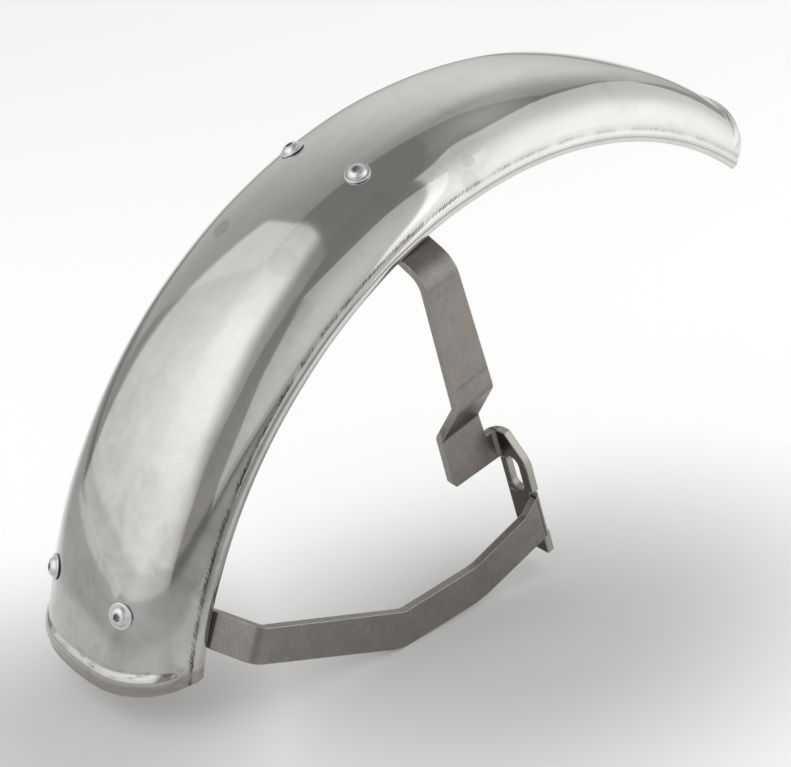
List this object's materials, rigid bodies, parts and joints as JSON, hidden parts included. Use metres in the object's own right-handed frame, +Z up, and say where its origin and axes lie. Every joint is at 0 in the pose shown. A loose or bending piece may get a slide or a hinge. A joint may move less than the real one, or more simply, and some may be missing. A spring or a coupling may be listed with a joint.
{
  "type": "motorcycle front mudguard",
  "caption": "Motorcycle front mudguard: a curved polished steel blade with a raised border bead, bolted to a one-sided folded plate bracket with a slotted fork mount.",
  "frame": {"origin": "middle of the bracket's slot, on the face of the slot plate that seats on the fork lug", "axes": "+X forward along the motorcycle, +Y to the left across the wheel, +Z up, as the mudguard sits on the machine"},
  "size_m": [0.5856, 0.1798, 0.3594],
  "materials": {
    "polished_steel": "bare steel sheet, polished, with faint drawing marks",
    "raw_plate": "raw mill-finish steel plate, laser cut and folded",
    "zinc_plated": "bright zinc plating",
    "nylon": "pale nylon"
  },
  "bodies": {
    "root": {"mudguard_blade": "polished_steel", "mounting_bracket": "raw_plate", "flange_screws": "zinc_plated", "plain_washers": "zinc_plated", "lock_nuts": "zinc_plated", "nut_inserts": "nylon"}
  },
  "joints": []
}
